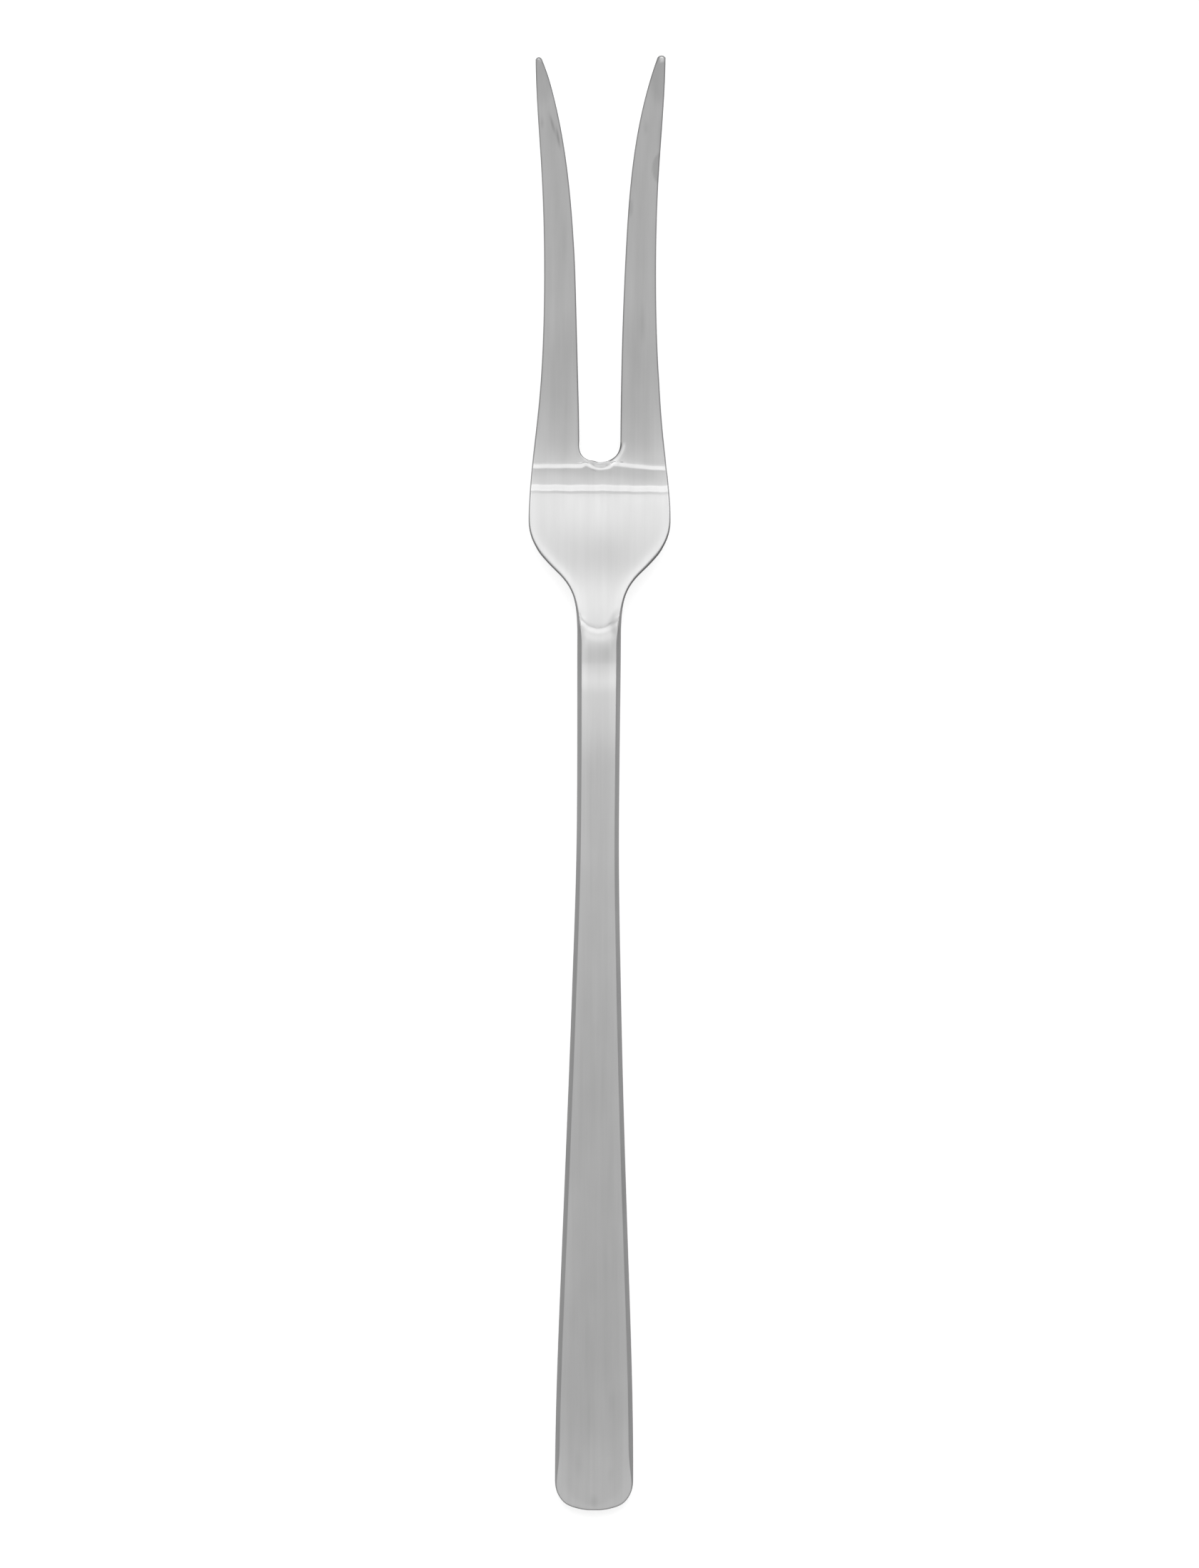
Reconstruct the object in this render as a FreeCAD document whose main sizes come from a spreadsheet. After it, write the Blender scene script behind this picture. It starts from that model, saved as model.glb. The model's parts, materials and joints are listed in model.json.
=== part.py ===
# Two-tined meat fork, one piece of stainless steel.
#
# The fork lies on its back as it comes to rest: width along X, length along Y with the tines
# towards +Y, front face up, table at Z = 0 and the origin in the middle of its footprint.
# A station is a distance from the end of the handle, a lift is a height of the back above the
# table, and every width is the full width across the fork.

import FreeCAD, Part
import math
import os

import Sketcher
from FreeCAD import Vector

NODE = "meat_fork"

SIZES = (
    # Plan
    ("overall_length", 210.0, "end of the handle to the tips of the tines"),
    ("end_width", 11.4, "handle at its end"),
    ("end_corner", 4.3, "radius of the two corners at the end of the handle"),
    ("palm_width", 9.74, "handle a sixth of the way up, where it tapers"),
    ("grip_width", 7.44, "handle above its middle, where the taper ends"),
    ("neck_width", 6.4, "parallel neck"),
    ("neck_station", 100.0, "where the taper runs out into the parallel neck"),
    ("throat_station", 128.6, "where the neck begins to flare into the shoulders"),
    ("throat_radius", 9.7, "hollow curve from neck to shoulder"),
    ("shoulder_radius", 7.4, "round of the shoulder"),
    ("shoulder_station", 142.9, "where the shoulders are widest"),
    ("shoulder_width", 20.6, "widest place of the head"),
    ("hip_width", 17.1, "across both tines above the root"),
    ("waist_width", 16.0, "across both tines at the middle, the narrowest place"),
    ("calf_width", 16.6, "across both tines past the middle"),
    ("flare_width", 18.7, "across both tines where they turn outwards"),
    ("tips_width", 18.74, "across both tips"),
    ("slot_station", 154.2, "centre of the round end of the slot"),
    ("slot_width", 5.86, "gap between the tines at the root"),
    ("gap_width", 6.88, "gap at the middle of the tines"),
    ("mouth_width", 9.66, "gap where the tines turn outwards"),
    ("tip_width", 1.19, "one tine at its blunt tip"),
    ("tip_radius", 0.75, "round of the blunt tip"),
    # Side
    ("end_lift", 0.3, "back at the very end of the handle"),
    ("rest_station", 7.0, "where the handle rests on the table"),
    ("palm_lift", 1.6, "pull of the arch a sixth of the way up"),
    ("grip_lift", 2.6, "pull of the arch a third of the way up"),
    ("middle_lift", 3.95, "pull of the arch at half its length"),
    ("rise_lift", 4.7, "pull of the arch before its crest"),
    ("crest_lift", 5.05, "pull of the arch at its crest"),
    ("throat_lift", 3.2, "back at the throat"),
    ("throat_slope", 0.132, "fall of the back at the throat, height over length"),
    ("sole_station", 155.0, "where the back of the head rests on the table"),
    ("cheek_lift", 1.3, "pull of the back between throat and sole"),
    ("heel_lift", 1.5, "pull of the back at the root of the tines"),
    ("tine_lift", 5.05, "pull of the back along the tines"),
    ("point_lift", 7.72, "pull of the back before the tips"),
    ("tip_lift", 9.05, "back at the tips"),
    ("end_thickness", 2.1, "handle at its end"),
    ("neck_thickness", 2.8, "neck and throat"),
    ("root_thickness", 2.0, "finished tines at the root"),
    ("tip_thickness", 1.0, "finished tines at the tips"),
    # Ground face of the head
    ("grind_depth", 0.3, "metal ground off the face of the tines"),
    ("face_station", 128.5, "where the ground face starts across the throat"),
    ("face_depth", 0.07, "ground face below the neck at its start"),
    ("crest_station", 147.3, "upper edge of the large step"),
    ("crest_height", 2.8, "upper edge of the large step above the table"),
    ("step_length", 0.7, "large step along the fork"),
    ("step_drop", 0.3, "large step in height"),
    ("band_length", 2.6, "hollow band between the two steps"),
    ("band_drop", 0.17, "fall of the band"),
    ("band_radius", 37.0, "hollow of the band along the fork"),
    ("lip_length", 0.5, "small step along the fork"),
    ("lip_drop", 0.2, "small step in height"),
    ("runout_radius", 45.0, "hollow run-out from the small step into the tines"),
    # Tongue where the ground face ends on the neck
    ("tongue_station", 127.4, "lowest point of the tongue's round border"),
    ("tongue_radius", 4.4, "round border of the tongue"),
    ("tongue_depth", 0.03, "floor of the tongue below the neck"),
    ("tongue_ramp", 4.0, "length of the slope that leads down to the tongue"),
    ("ramp_angle", 12.0, "that slope, degrees"),
    # Edges
    ("front_bevel", 0.5, "bevel along the front edges, before the head is ground"),
    ("back_round", 0.5, "round along the back edges"),
    # Room that the cuts take around the fork
    ("trim_room", 3.0, "cutting room past the outline"),
)


def fill_sheet(doc):
    """The driving dimensions, one row each: name, value, meaning."""
    sheet = doc.addObject("Spreadsheet::Sheet", "sizes")
    for row, (name, size, meaning) in enumerate(SIZES, start=1):
        sheet.set("A%d" % row, name)
        sheet.set("B%d" % row, str(size))
        sheet.set("C%d" % row, meaning)
        sheet.setAlias("B%d" % row, name)
    doc.recompute()
    return sheet


def origin_plane(body, role):
    return next(f for f in body.Origin.OriginFeatures if f.Role == role)


def new_sketch(body, name, role):
    sketch = body.newObject("Sketcher::SketchObject", name)
    sketch.AttachmentSupport = (origin_plane(body, role), "")
    sketch.MapMode = "FlatFace"
    return sketch


def pole_shares(count):
    """Shares of the way along a cubic spline at which its poles stand, so that it runs evenly."""
    spans = count - 3
    knots = [0.0] * 3 + [i / spans for i in range(spans + 1)] + [1.0] * 3
    return [sum(knots[i + 1 : i + 4]) / 3 for i in range(count)]


def between(start, stop, share):
    return "(%s) + ((%s) - (%s)) * %.9f" % (start, stop, start, share)


def even_poles(start, stop, across):
    """Poles at even stations from start to stop, one for each size in across."""
    return [(between(start, stop, share), size) for share, size in zip(pole_shares(len(across)), across)]


class Chain:
    """A closed chain of curves in a sketch. Each place is a pair of expressions on the sheet."""

    def __init__(self, sketch, place):
        self.sketch = sketch
        self.start = place
        self.place = place
        self.first = None
        self.last = None
        self.names = 0

    def at(self, place):
        return Vector(*(self.sketch.evalExpression(e) for e in place), 0)

    def bind(self, constraint, expression):
        index = self.sketch.addConstraint(constraint)
        self.names += 1
        name = "size_%d" % self.names
        self.sketch.renameConstraint(index, name)
        self.sketch.setExpression("Constraints." + name, expression)

    def pin(self, curve, point, place):
        spot = self.at(place)
        self.bind(Sketcher.Constraint("DistanceX", -1, 1, curve, point, spot.x), place[0])
        self.bind(Sketcher.Constraint("DistanceY", -1, 1, curve, point, spot.y), place[1])

    def link(self, curve, start, end, place, kind="Coincident"):
        """Joins a curve's start to the end of the chain, and makes its end the chain's end."""
        if self.last is None:
            self.first = (curve, start)
            self.pin(curve, start, self.start)
        else:
            self.sketch.addConstraint(Sketcher.Constraint(kind, *self.last, curve, start))
        self.last = (curve, end)
        self.place = place

    def straight(self, place):
        curve = self.sketch.addGeometry(Part.LineSegment(self.at(self.place), self.at(place)), False)
        self.link(curve, 1, 2, place)
        return curve

    def line(self, *place):
        self.pin(self.straight(place), 2, place)

    def arc(self, place, radius, bulge):
        """An arc of a given radius. It bulges to the right of its chord (1) or to the left (-1)."""
        start, end = self.at(self.place), self.at(place)
        size = self.sketch.evalExpression(radius)
        chord = end - start
        right = Vector(chord.y, -chord.x, 0).normalize() * bulge
        depth = math.sqrt(size**2 - chord.Length**2 / 4)
        top = (start + end) * 0.5 + right * (size - depth)
        curve = self.sketch.addGeometry(Part.Arc(start, top, end), False)
        ends = (1, 2) if bulge > 0 else (2, 1)
        self.link(curve, *ends, place)
        self.pin(curve, ends[1], place)
        self.bind(Sketcher.Constraint("Radius", curve, size), radius)

    def flank(self, centre, place, far_centre):
        """A hollow arc, the line that touches it and a round arc, each arc held by its centre."""
        start, end = self.at(self.place), self.at(place)
        near, far = self.at(centre), self.at(far_centre)
        hollow, swell = (near - start).Length, (end - far).Length
        span = far - near
        turn = math.atan2(span.y, span.x) + math.acos((hollow + swell) / span.Length)
        touch = Vector(math.cos(turn), math.sin(turn), 0)
        joints = near + touch * hollow, far - touch * swell
        halfway = near + (touch + (start - near).normalize()).normalize() * hollow
        first = self.sketch.addGeometry(Part.Arc(start, halfway, joints[0]), False)
        self.link(first, 2, 1, None)
        self.pin(first, 3, centre)
        line = self.sketch.addGeometry(Part.LineSegment(*joints), False)
        self.link(line, 1, 2, None, "Tangent")
        halfway = far + ((end - far).normalize() - touch).normalize() * swell
        second = self.sketch.addGeometry(Part.Arc(joints[1], halfway, end), False)
        self.link(second, 1, 2, place, "Tangent")
        self.pin(second, 3, far_centre)
        self.pin(second, 2, place)

    def spline(self, poles):
        """A cubic spline. Its first pole is the end of the chain."""
        spots = [self.at(pole) for pole in poles]
        spans = len(poles) - 3
        curve = Part.BSplineCurve()
        ends = [4] + [1] * (spans - 1) + [4]
        curve.buildFromPolesMultsKnots(spots, ends, [i / spans for i in range(spans + 1)], False, 3)
        index = self.sketch.addGeometry(curve, False)
        self.sketch.exposeInternalGeometry(index)
        self.link(index, 1, 2, poles[-1])
        for number, pole in enumerate(poles[1:], start=2):
            self.pin(index + number, 3, pole)

    def close(self):
        self.straight(self.start)
        self.sketch.addConstraint(Sketcher.Constraint("Coincident", *self.last, *self.first))


def size(name):
    return "sizes." + name


def half(name):
    return "sizes.%s / 2" % name


REST = size("rest_station")
THROAT = size("throat_station")
SOLE = size("sole_station")
TIP = size("overall_length")
THROAT_FALL = "sizes.throat_slope * (%s) * %.9f"


def arch_back():
    """Back of the handle, from where it rests to the throat."""
    lifts = ["0", "0"] + [size(n) for n in ("palm_lift", "grip_lift", "middle_lift", "rise_lift", "crest_lift")]
    share = 1 - pole_shares(9)[-2]
    fall = THROAT_FALL % ("%s - %s" % (THROAT, REST), share)
    return even_poles(REST, THROAT, lifts + ["sizes.throat_lift + " + fall, size("throat_lift")])


def head_back():
    """Back of the head, from the throat to the sole."""
    fall = THROAT_FALL % ("%s - %s" % (SOLE, THROAT), pole_shares(5)[1])
    lifts = [size("throat_lift"), "sizes.throat_lift - " + fall, size("cheek_lift"), "0", "0"]
    return even_poles(THROAT, SOLE, lifts)


def tine_back():
    """Back of the tines, from the sole to the tips."""
    lifts = ["0", "0"] + [size(n) for n in ("heel_lift", "tine_lift", "point_lift", "tip_lift")]
    return even_poles(SOLE, TIP, lifts)


def raised(poles, thicknesses):
    return [(station, "(%s) + (%s)" % (lift, t)) for (station, lift), t in zip(poles, thicknesses)]


def graded(start, stop, shares):
    return [between(start, stop, share) for share in shares]


def tine_thicknesses():
    return graded(size("root_thickness"), size("tip_thickness"), [0.0, 0.0] + pole_shares(6)[2:])


def add_bar(body):
    """The bar in side view, as wide as the head and thick enough to grind."""
    blank_root = "sizes.root_thickness + sizes.grind_depth"
    arch_shares = [0.0, 0.0, 0.2, 0.4, 0.6, 0.8, 1.0, 1.0, 1.0]
    arch_face = raised(arch_back(), graded(size("end_thickness"), size("neck_thickness"), arch_shares))
    head_face = raised(head_back(), graded(size("neck_thickness"), blank_root, [0.0, 0.0, 0.5, 1.0, 1.0]))
    blank = ["(%s) + sizes.grind_depth" % t for t in tine_thicknesses()]
    tine_face = raised(tine_back(), blank)

    sketch = new_sketch(body, "bar_side", "YZ_Plane")
    chain = Chain(sketch, ("0", size("end_lift")))
    toe = between("0", REST, 0.5)
    chain.spline([("0", size("end_lift")), (between("0", REST, 0.25), "sizes.end_lift / 3"), (toe, "0"), (REST, "0")])
    chain.spline(arch_back())
    chain.spline(head_back())
    chain.spline(tine_back())
    chain.line(*tine_face[-1])
    chain.spline(tine_face[::-1])
    chain.spline(head_face[::-1])
    chain.spline(arch_face[::-1])
    end = "sizes.end_thickness + "
    chain.spline(
        [
            (REST, size("end_thickness")),
            (toe, size("end_thickness")),
            (between("0", REST, 0.25), end + "sizes.end_lift / 3"),
            ("0", end + "sizes.end_lift"),
        ]
    )
    chain.close()

    bar = body.newObject("PartDesign::Pad", "bar")
    bar.Profile = sketch
    bar.SideType = "Symmetric"
    bar.setExpression("Length", "sizes.shoulder_width + 2 * sizes.trim_room")
    return bar


def add_outline(body):
    """Cuts the right half of the outline through the bar, and mirrors the cut."""
    sketch = new_sketch(body, "outline_right", "XY_Plane")
    inner_tip = "(sizes.tips_width - 2 * sizes.tip_width) / 2"
    drop = "sizes.tip_radius - sqrt(sizes.tip_radius ^ 2 - sizes.tip_width ^ 2 / 4)"
    tip_end = "sizes.overall_length - (%s)" % drop
    corner = "sizes.end_width / 2 - sizes.end_corner"
    outside = "sizes.shoulder_width / 2 + 2 * sizes.trim_room"
    below = "0 - sizes.trim_room"
    beyond = "sizes.overall_length + sizes.trim_room"

    chain = Chain(sketch, ("0", "0"))
    chain.line(corner, "0")
    chain.arc((half("end_width"), size("end_corner")), size("end_corner"), 1)
    handle = [half(n) for n in ("end_width", "end_width", "palm_width", "grip_width", "neck_width", "neck_width")]
    stations = even_poles(size("end_corner"), size("neck_station"), handle)
    chain.spline([(width, station) for station, width in stations])
    chain.line(half("neck_width"), THROAT)
    chain.flank(
        ("sizes.neck_width / 2 + sizes.throat_radius", THROAT),
        (half("shoulder_width"), size("shoulder_station")),
        ("sizes.shoulder_width / 2 - sizes.shoulder_radius", size("shoulder_station")),
    )
    outer = ("shoulder_width", "shoulder_width", "hip_width", "waist_width", "calf_width", "flare_width", "tips_width")
    stations = even_poles(size("shoulder_station"), tip_end, [half(n) for n in outer])
    chain.spline([(width, station) for station, width in stations])
    chain.arc((inner_tip, tip_end), size("tip_radius"), 1)
    inner = [inner_tip] + [half(n) for n in ("mouth_width", "gap_width", "slot_width", "slot_width")]
    stations = even_poles(tip_end, size("slot_station"), inner)
    chain.spline([(width, station) for station, width in stations])
    chain.arc(("0", "sizes.slot_station - sizes.slot_width / 2"), half("slot_width"), -1)
    chain.line("0", beyond)
    chain.line(outside, beyond)
    chain.line(outside, below)
    chain.line("0", below)
    chain.close()

    cut = body.newObject("PartDesign::Pocket", "outline_cut")
    cut.Profile = sketch
    cut.Type = "ThroughAll"
    cut.SideType = "Symmetric"
    body.Document.recompute()

    mirrored = body.newObject("PartDesign::Mirrored", "outline_mirrored")
    mirrored.Originals = [cut]
    mirrored.MirrorPlane = (origin_plane(body, "YZ_Plane"), [""])
    body.Tip = mirrored
    return mirrored


def rim_edges(shape, front):
    """Names of the edges between the side walls and the front, or the back, of the fork."""
    upwards = 1 if front else -1
    names = []
    for number, edge in enumerate(shape.Edges, start=1):
        faces = shape.ancestorsOfType(edge, Part.Face)
        if len(faces) != 2:
            continue
        tilts = []
        for face in faces:
            u, v = face.Surface.parameter(edge.valueAt((edge.FirstParameter + edge.LastParameter) / 2))
            tilts.append(face.normalAt(u, v).z * upwards)
        if min(abs(t) for t in tilts) < 0.05 and max(tilts) > 0.7:
            names.append("Edge%d" % number)
    return names


def add_edges(body, base):
    """Bevels the front edges and rounds the back edges, while the faces are still smooth."""
    bevel = body.newObject("PartDesign::Chamfer", "front_bevel")
    bevel.Base = (base, rim_edges(base.Shape, True))
    bevel.setExpression("Size", size("front_bevel"))
    body.Document.recompute()
    rounding = body.newObject("PartDesign::Fillet", "back_round")
    rounding.Base = (bevel, rim_edges(bevel.Shape, False))
    rounding.setExpression("Radius", size("back_round"))
    body.Document.recompute()
    return rounding


def add_ground_face(body):
    """Grinds the face of the head in terraces: shoulder, step, band, small step and tines."""
    sketch = new_sketch(body, "ground_side", "YZ_Plane")
    start = size("face_station")
    over = "sizes.tip_lift + sizes.tip_thickness + 2 * sizes.trim_room"
    past = "sizes.overall_length + sizes.trim_room"
    face = "sizes.throat_lift + sizes.neck_thickness - sizes.face_depth"
    crest = (size("crest_station"), size("crest_height"))
    foot = ("%s + sizes.step_length" % crest[0], "%s - sizes.step_drop" % crest[1])
    lip = ("%s + sizes.band_length" % foot[0], "%s - sizes.band_drop" % foot[1])
    lip_foot = ("%s + sizes.lip_length" % lip[0], "%s - sizes.lip_drop" % lip[1])
    tine_face = raised(tine_back(), tine_thicknesses())

    chain = Chain(sketch, (start, over))
    chain.line(start, face)
    chain.line(*crest)
    chain.line(*foot)
    chain.arc(lip, size("band_radius"), 1)
    chain.line(*lip_foot)
    chain.arc((SOLE, size("root_thickness")), size("runout_radius"), 1)
    chain.spline(tine_face)
    chain.line(past, tine_face[-1][1])
    chain.line(past, over)
    chain.close()

    cut = body.newObject("PartDesign::Pocket", "ground_face")
    cut.Profile = sketch
    cut.Type = "ThroughAll"
    cut.SideType = "Symmetric"
    body.Document.recompute()
    return cut


def add_tongue(body):
    """Sinks the round border in which the ground face ends on the neck."""
    sketch = new_sketch(body, "tongue_section", "YZ_Plane")
    centre = "sizes.tongue_station + sizes.tongue_radius"
    floor = "sizes.throat_lift + sizes.neck_thickness - sizes.tongue_depth"
    rim = "sizes.tongue_station - sizes.tongue_ramp"
    rim_height = "%s + sizes.tongue_ramp * tan(sizes.ramp_angle * 1 deg)" % floor
    over = "%s + sizes.trim_room" % rim_height
    chain = Chain(sketch, (centre, floor))
    chain.line(size("tongue_station"), floor)
    chain.line(rim, rim_height)
    chain.line(rim, over)
    chain.line(centre, over)
    chain.close()

    tongue = body.newObject("PartDesign::Groove", "tongue")
    tongue.Profile = sketch
    axis = sketch.addGeometry(Part.LineSegment(chain.at((centre, floor)), chain.at((centre, over))), True)
    chain.pin(axis, 1, (centre, floor))
    chain.pin(axis, 2, (centre, over))
    tongue.ReferenceAxis = (sketch, ["Axis0"])
    tongue.Angle = 360
    body.Document.recompute()
    return tongue


def check(doc, solids):
    """Stops if any object failed, or a finished solid is empty or broken."""
    for item in doc.Objects:
        failed = [state for state in item.State if state in ("Invalid", "Error")]
        if failed:
            raise RuntimeError("%s is %s" % (item.Name, failed))
    for solid in solids:
        if solid.Shape.isNull() or not solid.Shape.isValid() or len(solid.Shape.Solids) != 1:
            raise RuntimeError("%s is not one sound solid" % solid.Label)


doc = FreeCAD.newDocument("fork")
fill_sheet(doc)

fork = doc.addObject("PartDesign::Body", NODE)
fork.Label = NODE
fork.setExpression("Placement.Base.y", "-sizes.overall_length / 2")
add_bar(fork)
outline = add_outline(fork)
doc.recompute()
add_edges(fork, outline)
add_ground_face(fork)
add_tongue(fork)
doc.recompute()
check(doc, [fork])

os.makedirs("parts", exist_ok=True)
fork.Shape.exportStep("parts/%s.step" % NODE)
box = fork.Shape.BoundBox
print("%s: %.2f x %.2f x %.2f mm, %.1f mm3" % (NODE, box.XLength, box.YLength, box.ZLength, fork.Shape.Volume))
print("lowest", round(box.ZMin, 4), "middle", round(box.Center.x, 4), round(box.Center.y, 4))
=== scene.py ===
"""A two-tined meat fork of brushed steel, lying on a pale floor and seen from straight above."""

import json
import logging
import math
from collections.abc import Callable
from dataclasses import dataclass, field
from enum import Enum

import bmesh
import bpy
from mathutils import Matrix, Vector

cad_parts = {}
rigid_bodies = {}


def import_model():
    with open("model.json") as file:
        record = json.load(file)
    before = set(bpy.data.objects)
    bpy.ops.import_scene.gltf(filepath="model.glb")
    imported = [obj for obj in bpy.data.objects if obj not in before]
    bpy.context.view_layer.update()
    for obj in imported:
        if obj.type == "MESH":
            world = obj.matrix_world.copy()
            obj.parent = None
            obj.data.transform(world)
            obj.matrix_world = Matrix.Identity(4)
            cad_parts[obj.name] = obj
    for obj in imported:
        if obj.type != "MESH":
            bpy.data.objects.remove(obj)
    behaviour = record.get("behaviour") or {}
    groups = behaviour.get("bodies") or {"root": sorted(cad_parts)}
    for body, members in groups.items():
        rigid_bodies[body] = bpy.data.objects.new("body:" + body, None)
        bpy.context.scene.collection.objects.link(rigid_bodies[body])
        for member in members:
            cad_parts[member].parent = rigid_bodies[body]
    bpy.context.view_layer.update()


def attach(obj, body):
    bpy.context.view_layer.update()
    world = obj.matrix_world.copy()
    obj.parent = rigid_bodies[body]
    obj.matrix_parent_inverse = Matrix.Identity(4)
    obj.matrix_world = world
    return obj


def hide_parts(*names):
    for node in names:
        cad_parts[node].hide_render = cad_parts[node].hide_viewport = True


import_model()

LOG = logging.getLogger("meat_fork")
MM = 0.001
NODE = "meat_fork"
BODY = "root"
NUDGE = 1e-6


class Layer(Enum):
    """Numbers that the skin carries at each of its points."""

    INSET = "inset"
    # Painted light and shade that the front carries, with spots of uneven tone among them.
    PAINTED_TONE = "painted_tone"


def mix(low: float, high: float, share: float) -> float:
    """The value a share of the way from low to high."""
    return low + (high - low) * share


def ease(start: float, stop: float, value: float) -> float:
    """A smooth rise from 0 at start to 1 at stop."""
    share = min(max((value - start) / (stop - start), 0.0), 1.0)
    return share * share * (3.0 - 2.0 * share)


def hump(centre: float, reach: float, value: float) -> float:
    """A smooth hump, 1 at its centre and 0 beyond its reach."""
    share = min(abs(value - centre) / reach, 1.0)
    return (1.0 - share * share) ** 2


def bowl(share: float) -> float:
    """A smooth bowl, 1 halfway and 0 at both ends."""
    return 4.0 * share * (1.0 - share)


@dataclass(frozen=True)
class Change:
    """A smooth change by a size, from nothing at its start to the whole at its stop, mm."""

    size: float
    start: float
    stop: float

    def at(self, place: float) -> float:
        """How much of the change is reached at a place."""
        return self.size * ease(self.start, self.stop, place)


@dataclass(frozen=True)
class Swell:
    """A smooth swelling by a size round its centre, nothing beyond its reach, mm."""

    size: float
    centre: float
    reach: float

    def at(self, place: float) -> float:
        """How much it swells at a place."""
        return self.size * hump(self.centre, self.reach, place)


@dataclass(frozen=True)
class Ripple:
    """An even ripple by a size, whose phase grows by a pace with each mm."""

    size: float
    pace: float
    phase: float = 0.0

    def at(self, place: float) -> float:
        """The ripple's height at a place."""
        return self.size * math.sin(self.pace * place + self.phase)


Wander = tuple[Change | Swell | Ripple, ...]
Pulls = tuple[float, ...]
Pair = tuple[float, float]
Triple = tuple[float, float, float]
Settings = dict[str | int, object]


def total(parts: Wander, place: float) -> float:
    """All parts together at a place."""
    return sum(part.at(place) for part in parts)


def graded(low: float, high: float, shares: Pulls) -> Pulls:
    """Sizes that stand the given shares of the way from low to high."""
    return tuple(mix(low, high, share) for share in shares)


def stand(name: str, data: bpy.types.ID) -> bpy.types.Object:
    """Puts a new object with its mesh, light or camera into the scene."""
    made = bpy.data.objects.new(name, data)
    bpy.context.scene.collection.objects.link(made)
    return made


def skin(name: str, bm: bmesh.types.BMesh) -> bpy.types.Mesh:
    """Turns a worked mesh into the named mesh of a piece, and frees it."""
    mesh = bpy.data.meshes.new(name)
    bm.to_mesh(mesh)
    bm.free()
    return mesh


@dataclass(frozen=True)
class Run:
    """A smooth run between two stations, pulled by sizes that stand evenly along it."""

    start: float
    stop: float
    pulls: Pulls

    def at(self, station: float) -> float:
        """The value of the run's cubic spline at a station."""
        spans = len(self.pulls) - 3
        knots = [0] * 3 + list(range(spans + 1)) + [spans] * 3
        place = min(max((station - self.start) / (self.stop - self.start), 0.0), 1.0) * spans
        first = min(int(place), spans - 1)
        near = list(self.pulls[first:first + 4])
        for step in (1, 2, 3):
            for i in range(3, step - 1, -1):
                low, high = knots[first + i], knots[first + i + 4 - step]
                near[i] = mix(near[i - 1], near[i], (place - low) / (high - low))
        return near[3]


@dataclass(frozen=True)
class Spot:
    """A point on the outline: half width and station in mm, and the outward direction there."""

    x: float
    station: float
    out_x: float
    out_y: float

    def inside(self, distance: float) -> Pair:
        """The place that far inside the outline, as half width and station."""
        return self.x - self.out_x * distance, self.station - self.out_y * distance


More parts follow.
